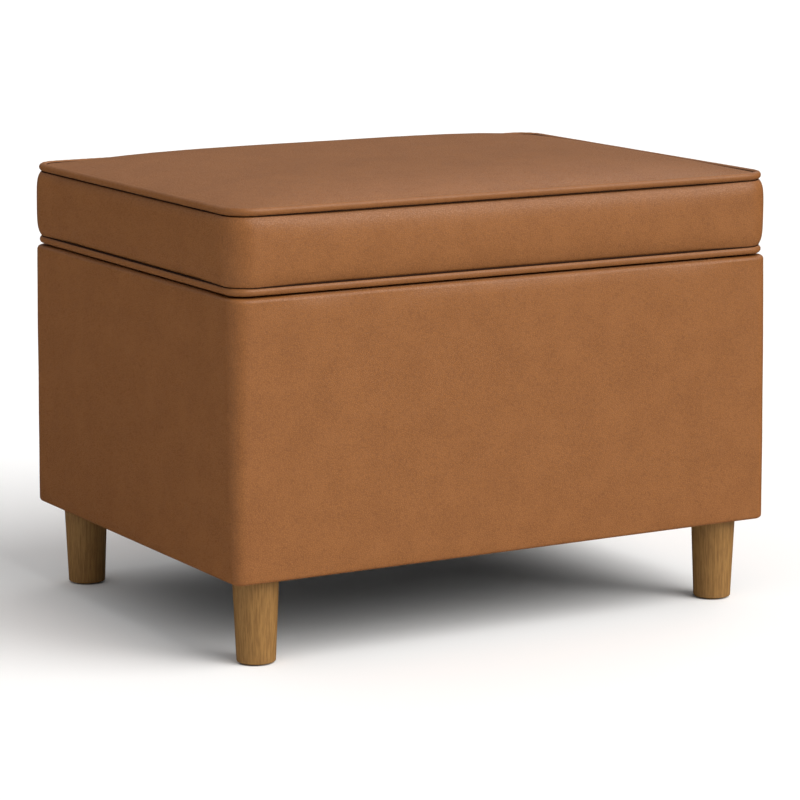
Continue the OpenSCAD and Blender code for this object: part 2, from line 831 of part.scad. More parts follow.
front_panel();
back_panel();
left_panel();
right_panel();
floor_panel();
front_back_cleats();
side_cleats();
color(pine) leg_block([-1, -1]);  // leg_block_front_left
color(pine) leg_block([1, -1]);  // leg_block_front_right
color(pine) leg_block([-1, 1]);  // leg_block_back_left
color(pine) leg_block([1, 1]);  // leg_block_back_right
leg([-1, -1]);  // leg_front_left
leg([1, -1]);  // leg_front_right
leg([-1, 1]);  // leg_back_left
leg([1, 1]);  // leg_back_right
hanger_bolts();
tee_nuts();
foot_glides();
box_padding();
box_cover();
dust_cover();
dust_cover_staples();
liner_front();
liner_back();
liner_left();
liner_right();
liner_floor();
frame_screws();
rim_bumpers();
lid_board();
lid_foam();
lid_wadding();
lid_top_cover();
lid_boxing();
lid_top_welt();
lid_bottom_welt();
welt_cords();
lid_lining();
hinge_leaf(-1, -1);  // hinge_box_leaf_left
hinge_leaf(1, -1);  // hinge_box_leaf_right
hinge_leaf(-1, 1);  // hinge_lid_leaf_left
hinge_leaf(1, 1);  // hinge_lid_leaf_right
hinge_pins();
hinge_box_screws();
hinge_lid_screws();
stay_box_bracket(-1);  // stay_box_bracket_left
stay_box_bracket(1);  // stay_box_bracket_right
stay_lid_bracket(-1);  // stay_lid_bracket_left
stay_lid_bracket(1);  // stay_lid_bracket_right
stay_lower_arm(-1);  // stay_lower_arm_left
stay_lower_arm(1);  // stay_lower_arm_right
stay_upper_arm(-1);  // stay_upper_arm_left
stay_upper_arm(1);  // stay_upper_arm_right
stay_elbow_rivet(-1);  // stay_elbow_rivet_left
stay_elbow_rivet(1);  // stay_elbow_rivet_right
stay_box_rivets();
stay_lid_rivets();
stay_box_screws();
stay_lid_screws();
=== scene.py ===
"""Storage ottoman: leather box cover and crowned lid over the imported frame, with its finishes and studio."""
import math

import bpy
import numpy as np
from bpy.props import FloatProperty, FloatVectorProperty, IntProperty, PointerProperty
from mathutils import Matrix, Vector, noise


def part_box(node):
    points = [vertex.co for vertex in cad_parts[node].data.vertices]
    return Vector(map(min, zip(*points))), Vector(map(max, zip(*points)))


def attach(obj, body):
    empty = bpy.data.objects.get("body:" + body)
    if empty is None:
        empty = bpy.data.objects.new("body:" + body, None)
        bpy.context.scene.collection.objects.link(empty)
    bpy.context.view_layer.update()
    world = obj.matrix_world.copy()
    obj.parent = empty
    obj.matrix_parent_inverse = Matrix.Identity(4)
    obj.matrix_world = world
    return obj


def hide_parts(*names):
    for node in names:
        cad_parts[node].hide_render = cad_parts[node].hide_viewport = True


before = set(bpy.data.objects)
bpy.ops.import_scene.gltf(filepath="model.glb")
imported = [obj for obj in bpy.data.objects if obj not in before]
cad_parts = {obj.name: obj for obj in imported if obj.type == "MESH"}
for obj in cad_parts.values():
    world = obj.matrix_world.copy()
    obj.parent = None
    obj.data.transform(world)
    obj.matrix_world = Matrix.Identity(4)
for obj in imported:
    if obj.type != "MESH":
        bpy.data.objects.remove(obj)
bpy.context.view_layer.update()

bl_info = {
    "name": "Storage Ottoman",
    "version": (1, 0, 0),
    "blender": (4, 5, 0),
    "location": "View3D > Sidebar > Ottoman",
    "description": "Upholstery, finishes and studio for a storage ottoman",
    "category": "Object",
}

# Where the frame's own pieces lie, in metres
COVER_LO, COVER_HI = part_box("box_cover")
LINER_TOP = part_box("liner_front")[1].z
PANEL_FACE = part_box("right_panel")[0].x       # inner face of a side panel
PANEL_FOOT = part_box("right_panel")[0].z
TOP_WELT_LO, TOP_WELT_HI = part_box("lid_top_welt")
LOW_WELT_LO, LOW_WELT_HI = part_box("lid_bottom_welt")
TOP_COVER_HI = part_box("lid_top_cover")[1]
BOXING_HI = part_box("lid_boxing")[1]
BOARD_LO, BOARD_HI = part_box("lid_board")
WELT_R = (TOP_WELT_HI.z - TOP_WELT_LO.z) / 2
TOP_WELT_Z = (TOP_WELT_HI.z + TOP_WELT_LO.z) / 2
LOW_WELT_Z = (LOW_WELT_HI.z + LOW_WELT_LO.z) / 2
HALF_W, HALF_D = COVER_HI.x, COVER_HI.y       # faces of the covered box, which insets are measured from
MM = 0.001


# ---- Settings ----

COLOUR = {"subtype": "COLOR", "size": 3, "min": 0, "max": 1}
DISTANCE = {"subtype": "DISTANCE", "unit": "LENGTH"}
ANGLE = {"subtype": "ANGLE", "unit": "ROTATION"}


class OttomanUpholstery(bpy.types.PropertyGroup):
    leather_light: FloatVectorProperty(
        name="Leather", description="Colour of the leather's high spots", default=(0.288, 0.113, 0.033),
        **COLOUR)
    leather_deep: FloatVectorProperty(
        name="Leather creases", description="Colour in the leather's grain and blotches",
        default=(0.178, 0.063, 0.016), **COLOUR)
    thickness: FloatProperty(
        name="Leather thickness", description="Thickness of the cover", default=PANEL_FOOT - COVER_LO.z,
        min=0.5 * MM, **DISTANCE)
    box_corner: FloatProperty(
        name="Box corner", description="Rounding of the box's upright corners at the rim",
        default=18 * MM, min=5 * MM, **DISTANCE)
    boxing_corner: FloatProperty(
        name="Boxing corner", description="Rounding of the lid's upright corners", default=26 * MM,
        min=5 * MM, **DISTANCE)
    top_welt_corner: FloatProperty(
        name="Top welt corner", description="Outer rounding of the top welt's corners",
        default=28 * MM, min=5 * MM, **DISTANCE)
    low_welt_corner: FloatProperty(
        name="Bottom welt corner", description="Outer rounding of the bottom welt's corners",
        default=21 * MM, min=5 * MM, **DISTANCE)
    crown_squareness: FloatProperty(
        name="Crown squareness", description="How flat the crown is before it falls to the edges",
        default=4.4, min=2, max=8)
    stuffing_pressure: FloatProperty(
        name="Stuffing pressure", description="Pressure of the stuffing in the lid's simulation",
        default=4, min=0, max=20)
    stuffing_frames: IntProperty(
        name="Stuffing frames", description="Length of the lid's simulation in frames",
        default=20, min=1, max=60)


class OttomanTimber(bpy.types.PropertyGroup):
    oak_light: FloatVectorProperty(
        name="Oak", description="Colour of the legs between the grain lines",
        default=(0.31, 0.162, 0.046), **COLOUR)
    oak_dark: FloatVectorProperty(
        name="Oak grain", description="Colour of the legs' grain lines", default=(0.205, 0.1, 0.027),
        **COLOUR)
    ply_light: FloatVectorProperty(
        name="Plywood", description="Colour of the panels", default=(0.62, 0.44, 0.25), **COLOUR)
    ply_dark: FloatVectorProperty(
        name="Plywood grain", description="Colour of the panels' grain", default=(0.46, 0.29, 0.14),
        **COLOUR)
    pine_light: FloatVectorProperty(
        name="Pine", description="Colour of the blocks and cleats", default=(0.72, 0.52, 0.28), **COLOUR)
    pine_dark: FloatVectorProperty(
        name="Pine grain", description="Colour of the blocks' and cleats' grain",
        default=(0.50, 0.28, 0.11), **COLOUR)


class OttomanStudio(bpy.types.PropertyGroup):
    floor_colour: FloatVectorProperty(
        name="Floor", description="Colour of the studio floor", default=(0.92, 0.92, 0.92), **COLOUR)
    sky_strength: FloatProperty(
        name="Ambient light", description="Brightness of the even light from above", default=0.68, min=0)
    sky_rise: FloatProperty(
        name="Ambient rise", description="Height over the horizon at which the light from above is full, "
        "as the sine of its angle", default=0.85, min=0.01, max=1)
    key_strength: FloatProperty(
        name="Key light", description="Brightness of the soft main light", default=2.6, min=0)
    low_strength: FloatProperty(
        name="Low light", description="Brightness of the low front light that shines in rounded edges",
        default=0.6, min=0)
    rim_strength: FloatProperty(
        name="Rim light", description="Brightness of the light from behind", default=0.18, min=0)
    side_strength: FloatProperty(
        name="Side light", description="Brightness of the light on the left side", default=0.2, min=0)
    low_spread: FloatProperty(
        name="Low and rim spread", description="How wide the low light and the rim light are",
        default=math.radians(26), min=0, **ANGLE)
    key_spread: FloatProperty(
        name="Key and side spread", description="How wide, and so how soft, the main and side lights are",
        default=math.radians(55), min=0, **ANGLE)
    camera_azimuth: FloatProperty(
        name="Camera azimuth", description="Direction that the camera looks in, from the front",
        default=math.radians(-30.03), **ANGLE)
    camera_elevation: FloatProperty(
        name="Camera elevation", description="Height of the camera above the horizon",
        default=math.radians(10.43), **ANGLE)
    camera_distance: FloatProperty(
        name="Camera distance", description="Camera to its aim", default=3.527, min=0.5, **DISTANCE)
    camera_aim: FloatVectorProperty(
        name="Camera aim", description="Point that the camera looks at", subtype="XYZ", unit="LENGTH",
        size=3, default=(0.0042, 0.0, 0.1993))
    lens: FloatProperty(
        name="Lens", description="Focal length in millimetres", default=153.6, min=10)


# ---- Outlines of the upholstery ----

STRAIGHT_W, STRAIGHT_D, CORNER_STEPS = 72, 54, 8    # points along a side and round a corner
SEAM_STEPS = (0.7 * MM, 2 * MM, 4 * MM)             # extra points on each side of the seam at the back
SHARPEST = 0.3 * MM                                 # least rounding of a ring's corner


def even(count, extra=()):
    """Steps from 0 to just under 1, with a few closer ones added."""
    return np.array(sorted({i / count for i in range(count)} | set(extra)))


def outline(half_w, half_d, corner_r, seam=False):
    """Points round a rectangle with round corners, anticlockwise from the front left, with a fixed count.
    With seam, extra points stand close to the middle of the back."""
    w, d, r = half_w - corner_r, half_d - corner_r, corner_r
    close = [0.5 + side * step / (2 * w) for side in (-1, 1) for step in SEAM_STEPS] if seam else []
    sides = [((-w, -half_d), (w, -half_d), STRAIGHT_W, []), ((half_w, -d), (half_w, d), STRAIGHT_D, []),
             ((w, half_d), (-w, half_d), STRAIGHT_W, close), ((-half_w, d), (-half_w, -d), STRAIGHT_D, [])]
    centres = [(w, -d), (w, d), (-w, d), (-w, -d)]
    points = []
    for k, (a, b, count, extra) in enumerate(sides):
        steps = even(count, extra)[:, None]
        points.append(np.array(a) + steps * (np.array(b) - np.array(a)))
        turn = -math.pi / 2 + k * math.pi / 2 + np.linspace(0, math.pi / 2, CORNER_STEPS + 1)[:-1]
        points.append(np.array(centres[k]) + r * np.stack([np.cos(turn), np.sin(turn)], 1))
    return np.concatenate(points)


def ring(inset, corner_r, z, seam=False):
    """Points of a level ring that lies inset inside the faces of the box."""
    xy = outline(HALF_W - inset, HALF_D - inset, max(corner_r, SHARPEST), seam)
    return np.column_stack([xy, np.full(len(xy), z)])


def ring_faces(rings, count, close=False):
    """Quads between rings of count points, each wound outwards when the rings run upwards."""
    faces = []
    for k in range(rings if close else rings - 1):
        lower, upper = k * count, ((k + 1) % rings) * count
        for i in range(count):
            j = (i + 1) % count
            faces.append((lower + i, lower + j, upper + j, upper + i))
    return faces


def leather_mesh(name, points, faces):
    mesh = bpy.data.meshes.new(name)
    mesh.from_pydata([tuple(p) for p in points], [], faces)
    mesh.validate()
    mesh.shade_smooth()
    piece = bpy.data.objects.new(name, mesh)
    bpy.context.scene.collection.objects.link(piece)
    return piece


def sheet_inside(loop):
    """A grid of points, (rows, columns, 3), that fills the ring loop. Its corners lie in the middles of
    the loop's."""
    half = CORNER_STEPS // 2
    nw, nd = STRAIGHT_W + CORNER_STEPS, STRAIGHT_D + CORNER_STEPS
    around = np.roll(loop, half, axis=0)      # starts in the middle of the front left corner
    front = around[0:nw + 1]
    right = around[nw:nw + nd + 1]
    back = around[nw + nd:2 * nw + nd + 1][::-1]
    left = np.concatenate([around[2 * nw + nd:], around[:1]])[::-1]
    u = np.linspace(0, 1, nw + 1)[None, :, None]
    v = np.linspace(0, 1, nd + 1)[:, None, None]
    across = (1 - v) * front[None] + v * back[None]
    along = (1 - u) * left[:, None] + u * right[:, None]
    corners = ((1 - u) * (1 - v) * front[0] + u * (1 - v) * front[-1]
               + (1 - u) * v * back[0] + u * v * back[-1])
    return across + along - corners


def grid_faces(rows, columns, start=0):
    return [(start + r * columns + c, start + r * columns + c + 1,
             start + (r + 1) * columns + c + 1, start + (r + 1) * columns + c)
            for r in range(rows - 1) for c in range(columns - 1)]


def ripple(points, size, seed):
    """Smooth noise from -1 to 1 at each point, with features of that size."""
    shift = Vector((seed * 7.3, seed * 3.1, seed * 5.7))
    return np.array([noise.noise(Vector(p) / size + shift) for p in points])


# ---- Lid cushion ----

CROWN_SHOULDER = 0.887       # below 1, the crown is fuller near its edge


def crown_height(xy, half_w, half_d, squareness):
    """Height of the crown above its edge, as a share of its height in the middle."""
    fall_w = np.clip(1 - np.abs(xy[:, 0] / half_w) ** squareness, 0, 1)
    fall_d = np.clip(1 - np.abs(xy[:, 1] / half_d) ** squareness, 0, 1)
    return (fall_w * fall_d) ** CROWN_SHOULDER


TOP_SEAM_IN = 1.75 * WELT_R  # the top's seam, by the inner side of the welt
TOP_SEAM_UP = 0.45 * WELT_R
TOP_SLACK = 0.25 * MM        # unevenness of the top
BOXING_ROWS = 22
BOXING_FOOT_GAP = 0.3 * MM   # between the boxing and the bottom welt
BOXING_HEAD_GAP = 0.9 * MM   # between the boxing and the top welt
BOXING_EDGE_IN = 2.3 * MM    # how far in the boxing's edges are drawn by their seams
BOXING_TUCK = 6.8 * MM       # how far in its hidden edges lie, behind the welts
BOXING_ROUND = 5.5 * MM      # how soon it swells away from a seam
BOXING_SLACK = 0.35 * MM     # unevenness of the boxing
BOXING_THIN = 0.9            # the boxing's leather, pared at its seams, as a share of the cover's
LIP = ((20, 2, 0), (2.2, 11, 0), (1.5, 12, 6))    # its turn under the board: inset, corner, height in mm
LAYER_GAP = 0.4 * MM         # between the leather and the wadding
WADDING_T = 6 * MM
WADDING_IN = 2.5 * MM        # how much shorter the wadding's top is than the leather's
WADDING_FOOT = 1 * MM        # the wadding's lower edge, over the board
STUFFING_CLOTH = {"quality": 6, "mass": 0.4, "tension_stiffness": 30, "compression_stiffness": 30,
                  "shear_stiffness": 15, "bending_stiffness": 2, "use_pressure": True}
STUFFING_CAP = 12 * MM       # the furthest that the simulation may move a point
UNSTUFFED = 0.6              # the crown's height before the simulation, as a share of the full one
STUFFED_SHARE = 0.28         # share of the simulation in the crown
STUFFED_BOXING = 0.5 * MM    # how far the simulation swells the boxing
STUFFED_PEAK = 1.5           # and the most that it may, as a share of that
SNUG_FROM = 90 * MM          # where leather grows snug towards an upright corner
SNUG_OVER = 70 * MM


def snugness(points):
    """1 round the upright corners, where leather is drawn tight, and 0 along the faces."""
    near = [np.clip((np.abs(points[:, k]) - (half - SNUG_FROM)) / SNUG_OVER, 0, 1)
            for k, half in ((0, HALF_W), (1, HALF_D))]
    return near[0] * near[1]


def boxing_rings(corner_r, swell, foot_z, head_z):
    """Rings of the boxing between its hidden edges. swell is how far it stands past the box."""
    rows = (1 - np.cos(np.linspace(0, math.pi, BOXING_ROWS))) / 2
    rings = []
    for share in [0, *rows, 1]:
        loop = ring(-swell, corner_r + swell, foot_z + (head_z - foot_z) * share)
        loose = 1 - snugness(loop)
        easing = BOXING_ROUND * (1 + 0.5 * loose)
        near = np.exp(-(head_z - loop[:, 2]) / easing) + np.exp(-(loop[:, 2] - foot_z) / easing)
        if len(rings) in (0, BOXING_ROWS + 1):
            drawn_in = np.full(len(loop), swell + BOXING_TUCK)
        else:
            drawn_in = (swell + BOXING_EDGE_IN * (1 + loose)) * near
        loop[:, :2] -= outward(loop) * drawn_in[:, None]
        rings.append(loop)
    return rings


def stuff(points, faces, pinned, pressure, frames, cap):
    """Blows a closed skin up with Cloth and returns how far each point moved, at most cap."""
    skin = leather_mesh("stuffing_run", points, faces)
    held = skin.vertex_groups.new(name="seams")
    held.add([int(i) for i in np.flatnonzero(pinned)], 1.0, "REPLACE")
    cloth = skin.modifiers.new("Stuffing", "CLOTH")
    for key, value in STUFFING_CLOTH.items():
        setattr(cloth.settings, key, value)
    cloth.settings.uniform_pressure_force = pressure
    cloth.settings.effector_weights.gravity = 0
    cloth.settings.vertex_group_mass = "seams"
    cloth.collision_settings.use_collision = False
    cloth.point_cache.frame_start = 1
    cloth.point_cache.frame_end = frames
    scene = bpy.context.scene
    for f in range(1, frames + 1):
        scene.frame_set(f)
    blown = skin.evaluated_get(bpy.context.evaluated_depsgraph_get())
    moved = np.empty(len(points) * 3, np.float32)
    blown.data.vertices.foreach_get("co", moved)
    scene.frame_set(1)
    bpy.data.objects.remove(skin)
    move = moved.reshape(-1, 3).astype(float) - points
    length = np.linalg.norm(move, axis=1)
    return move * np.minimum(1, cap / np.maximum(length, 1e-9))[:, None]


class OTTOMAN_OT_lid_cushion(bpy.types.Operator):
    """Makes the lid's crowned top, its boxing and the wadding under them"""
    bl_idname = "ottoman.lid_cushion"
    bl_label = "Lid Cushion"

    def execute(self, context):
        s = context.scene.ottoman_upholstery
        edge = ring(TOP_SEAM_IN, s.top_welt_corner - TOP_SEAM_IN, TOP_WELT_Z + TOP_SEAM_UP)
        edge_rise = TOP_COVER_HI.z - edge[0][2]
        swell = BOXING_HI.x - HALF_W
        grid = sheet_inside(edge)
        rows, columns = grid.shape[:2]
        top = grid.reshape(-1, 3)
        share = crown_height(top[:, :2], HALF_W - TOP_SEAM_IN, HALF_D - TOP_SEAM_IN, s.crown_squareness)
        foot_z = LOW_WELT_Z + WELT_R + BOXING_FOOT_GAP
        head_z = TOP_WELT_Z - WELT_R - BOXING_HEAD_GAP
        walls = boxing_rings(s.boxing_corner, swell, foot_z, head_z)
        full_share, wall_gain = self.stuffed(s, top, grid.shape, walls, share, edge_rise)
        top[:, 2] = edge[0][2] + edge_rise * full_share
        top[:, 2] += TOP_SLACK * ripple(top, 70 * MM, 1) * np.clip(share * 3, 0, 1)
        self.top_panel(s, top, rows, columns)
        wall_points = np.concatenate(walls)
        out = np.concatenate([outward(w) for w in walls])
        soft = ripple(wall_points, 50 * MM, 2) * BOXING_SLACK
        lie = np.repeat(np.sin(np.linspace(0, math.pi, len(walls))), len(edge))
        wall_points[:, :2] += out * ((wall_gain + soft) * lie)[:, None]
        self.boxing(s, wall_points, len(walls), len(edge))
        self.wadding(s, top, rows, columns, wall_points, out, len(walls), len(edge))
        return {"FINISHED"}

    def stuffed(self, s, top, shape, walls, share, edge_rise):
        """The stuffed crown as shares of its full height, and how far the stuffed boxing stands out."""
        start = top.copy()
        start[:, 2] += UNSTUFFED * edge_rise * share
        rows, columns = shape[:2]
        count = len(walls[0])
        base = sheet_inside(walls[0]).reshape(-1, 3)
        skin = np.concatenate([start, *walls, base])
        wall_0, base_0 = len(start), len(start) + len(walls) * count
        faces = grid_faces(rows, columns)
        faces += [tuple(wall_0 + i for i in f) for f in ring_faces(len(walls), count)]
        faces += [f[::-1] for f in grid_faces(rows, columns, base_0)]
        rim = rim_indices(rows, columns)
        last = wall_0 + (len(walls) - 1) * count
        above = edge_faces(last, count, rim)
        below = edge_faces(wall_0, count, [base_0 + i for i in rim])
        for upper, lower in zip(above, below):
            faces += [upper, lower[::-1]]
        pinned = np.zeros(len(skin), bool)
        for part in (rim, slice(wall_0, wall_0 + count), slice(last, last + count), slice(base_0, None)):
            pinned[part] = True
        move = stuff(skin, faces, pinned, s.stuffing_pressure, s.stuffing_frames, STUFFING_CAP)
        lifted = np.clip(move[:wall_0, 2], 0, None)
        lifted /= max(lifted.max(), 1e-6)
        full = (1 - STUFFED_SHARE) * share + STUFFED_SHARE * lifted
        out = np.concatenate([outward(w) for w in walls])
        gain = (move[wall_0:base_0, :2] * out).sum(1)
        typical = np.percentile(np.abs(gain), 90)
        level = np.clip(gain / max(typical, 1e-6), -STUFFED_PEAK, STUFFED_PEAK)
        return full / full.max(), level * STUFFED_BOXING

    def top_panel(self, s, top, rows, columns):
        piece = leather_mesh("lid_top_leather", top, grid_faces(rows, columns))
        thicken(piece, s.thickness)
        dress(piece, "lid", "leather", "Cognac leather", "lid_top_cover")

    def boxing(self, s, points, rings, count):
        """The band, and its lip turned in under the board from behind the welt."""
        lip_z = BOARD_LO.z - s.thickness
        lip = [ring(WELT_R * 2 + inset * MM, corner * MM, lip_z + up * MM) for inset, corner, up in LIP]
        shape = np.concatenate([*lip, points])
        piece = leather_mesh("lid_boxing_leather", shape, ring_faces(rings + len(lip), count))
        thicken(piece, s.thickness * BOXING_THIN)
        dress(piece, "lid", "leather", "Cognac leather", "lid_boxing")

    def wadding(self, s, top, rows, columns, walls, out, rings, count):
        """A soft layer just under the leather, closed along the top of the board."""
        inner = top.copy()
        inner[:, 2] -= s.thickness + LAYER_GAP
        inner[:, :2] *= 1 - WADDING_IN / HALF_W
        band = walls.copy()
        band[:, :2] -= out * (s.thickness + LAYER_GAP)
        first = next(k for k in range(rings) if band[k * count][2] > BOARD_HI.z + WADDING_FOOT)
        band = band[first * count:]
        faces = grid_faces(rows, columns)
        start = len(inner)
        kept = len(band) // count
        faces += [tuple(start + i for i in f) for f in ring_faces(kept, count)]
        faces += edge_faces(start + (kept - 1) * count, count, rim_indices(rows, columns))
        piece = leather_mesh("lid_wadding_layer", np.concatenate([inner, band]), faces)
        thicken(piece, WADDING_T)
        dress(piece, "lid", "wadding", "White wadding", "lid_wadding")


def rim_indices(rows, columns):
    """Indices of a grid's edge points, anticlockwise from its first."""
    front = list(range(columns - 1))
    right = [r * columns + columns - 1 for r in range(rows - 1)]
    back = [(rows - 1) * columns + c for c in range(columns - 1, 0, -1)]
    left = [r * columns for r in range(rows - 1, 0, -1)]
    return front + right + back + left


def edge_faces(start, count, edge):
    """Quads between a ring whose points begin at start and the edge of the grid that fills it."""
    order = [int(start + i) for i in np.roll(np.arange(count), CORNER_STEPS // 2)]
    return [(order[i], order[(i + 1) % count], edge[(i + 1) % count], edge[i]) for i in range(count)]


def outward(loop):
    """Unit directions that point out of a level ring."""
    ahead = np.roll(loop, -1, axis=0) - np.roll(loop, 1, axis=0)
    normal = np.stack([ahead[:, 1], -ahead[:, 0]], 1)
    return normal / np.maximum(np.linalg.norm(normal, axis=1), 1e-9)[:, None]


def thicken(piece, thickness):
    """Gives a skin its thickness, on the inside."""
    solid = piece.modifiers.new("Thickness", "SOLIDIFY")
    solid.thickness = thickness
    solid.offset = -1
    graph = bpy.context.evaluated_depsgraph_get()
    mesh = bpy.data.meshes.new_from_object(piece.evaluated_get(graph))
    piece.modifiers.clear()
    piece.data = mesh
    mesh.shade_smooth()


def dress(piece, body, slot, finish, *stands_for):
    """Gives a piece its finish and its body, and hides the nodes that it stands for."""
    piece.data.materials.clear()
    piece.data.materials.append(bpy.data.materials[finish])
    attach(piece, body)
    if stands_for:
        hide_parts(*stands_for)


# ---- Piping ----

WELT_SIDES = 20
WELT_STEP = 2.5 * MM
WELT_DRAWN = 0.06 * MM       # how far the leather is drawn in round the cord
WELT_SLACK = 0.1 * MM        # its unevenness
PUCKER_PITCH = 3.4 * MM      # from one stitch's pucker to the next
PUCKER = 0.05 * MM
CORNER_PUCKER = 0.16 * MM    # added on the inner side of a corner
LOW_PIPING_OUT = 0.8 * MM    # how far the bottom welt stands out past its cord's line


def welt_line(line_in, corner_r, z):
    """Even points along the middle of a welt, the share of corner at each, and the outward directions."""
    w, d = HALF_W - line_in, HALF_D - line_in
    points, corner = [], []
    x, y = w - corner_r, d - corner_r
    sides = [((-x, -d), (x, -d)), ((w, -y), (w, y)), ((x, d), (-x, d)), ((-w, y), (-w, -y))]
    for k, (a, b) in enumerate(sides):
        steps = round(math.dist(a, b) / WELT_STEP)
        for i in range(steps):
            points.append(np.array(a) + (np.array(b) - np.array(a)) * i / steps)
            corner.append(0.0)
        centre = [(x, -y), (x, y), (-x, y), (-x, -y)][k]
        steps = max(6, round(corner_r * math.pi / 2 / WELT_STEP))
        for i in range(steps):
            turn = -math.pi / 2 + k * math.pi / 2 + math.pi / 2 * i / steps
            points.append(np.array(centre) + corner_r * np.array([math.cos(turn), math.sin(turn)]))
            corner.append(math.sin(math.pi * i / steps))
    loop = np.column_stack([np.array(points), np.full(len(points), z)])
    return loop, np.array(corner), outward(loop)


def piping(name, line_in, corner_r, z, cord_r):
    """A leather tube round the cord, drawn in by its stitches and puckered in the corners."""
    loop, corner, out = welt_line(line_in, corner_r, z)
    puckering = np.sin(np.arange(len(loop)) * WELT_STEP / PUCKER_PITCH * 2 * math.pi)
    around = np.linspace(0, 2 * math.pi, WELT_SIDES, endpoint=False)
    skins = []
    for radius, detail in ((WELT_R, 1.0), (cord_r, 0.0)):
        rows = []
        for turn in around:
            inner_side = 0.5 - 0.5 * math.cos(turn)
            pucker = (PUCKER + CORNER_PUCKER * corner * inner_side) * puckering
            wander = WELT_SLACK * ripple(loop + [0, 0, turn], 22 * MM, 3)
            r = radius + detail * (pucker + wander - WELT_DRAWN)
            rows.append(loop + np.column_stack([out * (r * math.cos(turn))[:, None], r * math.sin(turn)]))
        skins.append(np.array(rows))
    count = len(loop)
    faces = ring_faces(WELT_SIDES, count, close=True)
    start = WELT_SIDES * count
    faces += [tuple(start + i for i in f[::-1]) for f in ring_faces(WELT_SIDES, count, close=True)]
    return leather_mesh(name, np.concatenate([s.reshape(-1, 3) for s in skins]), faces)


SHADE_THREAD_R = 0.75 * MM
SHADE_THREAD_SIDES = 8
INNER_SEAM_UP = 0.5 * WELT_R          # the seam threads' heights from the middle of their welts; the threads are near black as painted shade in the creases
OUTER_SEAM_DOWN = 1.11 * WELT_R
LOW_SEAM_UP = 0.96 * WELT_R
OUTER_SEAM_OUT = 0.9 * MM             # and how far out of the welts' middles they run
LOW_SEAM_OUT = 3 * MM
LOW_SEAM_CORNER = 4 * MM


def crease_shade_thread(name, inset, corner_r, z):
    """The thread of a seam, where it shows in the crease beside a welt, made near black as painted shade of
    that crease.
    """
    loop = welt_line(inset, corner_r - inset, z)[0]
    out = outward(loop)
    rows = [loop + SHADE_THREAD_R * np.column_stack([out * math.cos(a), np.full(len(loop), math.sin(a))])
            for a in np.linspace(0, 2 * math.pi, SHADE_THREAD_SIDES, endpoint=False)]
    return leather_mesh(name, np.concatenate(rows), ring_faces(SHADE_THREAD_SIDES, len(loop), close=True))


class OTTOMAN_OT_piping(bpy.types.Operator):
    """Makes the leather welts along the top and the bottom of the lid, and the threads in their seams, near
    black as painted shade in the creases
    """
    bl_idname = "ottoman.piping"
    bl_label = "Piping"

    def execute(self, context):
        s = context.scene.ottoman_upholstery
        cord_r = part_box("welt_cords")[1].z - TOP_WELT_Z
        low_in = HALF_W - LOW_WELT_HI.x + WELT_R
        top_in = HALF_W - TOP_WELT_HI.x + WELT_R
        for name, line_in, corner, z, node in (
                ("lid_top_piping", top_in, s.top_welt_corner, TOP_WELT_Z, "lid_top_welt"),
                ("lid_bottom_piping", low_in - LOW_PIPING_OUT, s.low_welt_corner, LOW_WELT_Z,
                 "lid_bottom_welt")):
            piece = piping(name, line_in, corner - WELT_R, z, cord_r)
            dress(piece, "lid", "leather", "Piping leather", node)
        # the seam threads are near black, so they paint the shade in the creases beside the welts
        for name, inset, corner, z in (
                ("lid_top_inner_seam_painted_shade", top_in + WELT_R, s.top_welt_corner, TOP_WELT_Z + INNER_SEAM_UP),
                ("lid_top_outer_seam_painted_shade", top_in - OUTER_SEAM_OUT, s.top_welt_corner,
                 TOP_WELT_Z - OUTER_SEAM_DOWN),
                ("lid_bottom_seam_painted_shade", low_in - LOW_SEAM_OUT, s.low_welt_corner + LOW_SEAM_CORNER,
                 LOW_WELT_Z + LOW_SEAM_UP)):
            dress(crease_shade_thread(name, inset, corner, z), "lid", "leather", "Dark thread")
        return {"FINISHED"}


# ---- Box cover ----

WALL_ROWS = 24
RIM_ROUND = 4 * MM
RIM_ROLL = 0.7 * MM          # how far the rim's padding swells over the panels
FOOT_ROUND = 4 * MM
TURN_UNDER = 20 * MM
RIM_LIP_ROUND = 2.5 * MM
RIM_WIDTH = 22 * MM                   # of its swelling
RIM_ACROSS = (6, 9, 12, 16, 20)       # rings across the rim, in mm from the faces
RIM_FALL = 1.3 * MM                   # how far the faces lean in towards the rim
RIM_FALL_HEIGHT = 22 * MM
HINGE_ROOM = 30 * MM                  # of the rim at the back, which stays level for the hinges
WALL_SWELL = 0.4 * MM                 # the faces' fullness, and their unevenness
WALL_SLACK = 0.3 * MM
SEAM_DEPTH = 0.8 * MM
SEAM_LINE = 1 * MM                    # half widths of the seam, and of the lips beside it
SEAM_LIPS = 3 * MM
LIP_RISE = 0.3                        # the lips' rise, as a share of the seam's depth
SEAM_FADE = 30 * MM                   # below the rim, over which the seam fades out
FOOT_CORNER = 0.6            # rounding of the upright corners at the foot, as a share of that at the rim
FOLD_CORNER = 0.5 * MM       # least rounding, where the leather is folded in


def arc(centre, radius, start, end, steps):
    """Points (inset, height) of an arc; angles in degrees, 0 towards the box's outside."""
    turns = np.radians(np.linspace(start, end, steps))
    return [(centre[0] - radius * math.cos(a), centre[1] + radius * math.sin(a)) for a in turns]


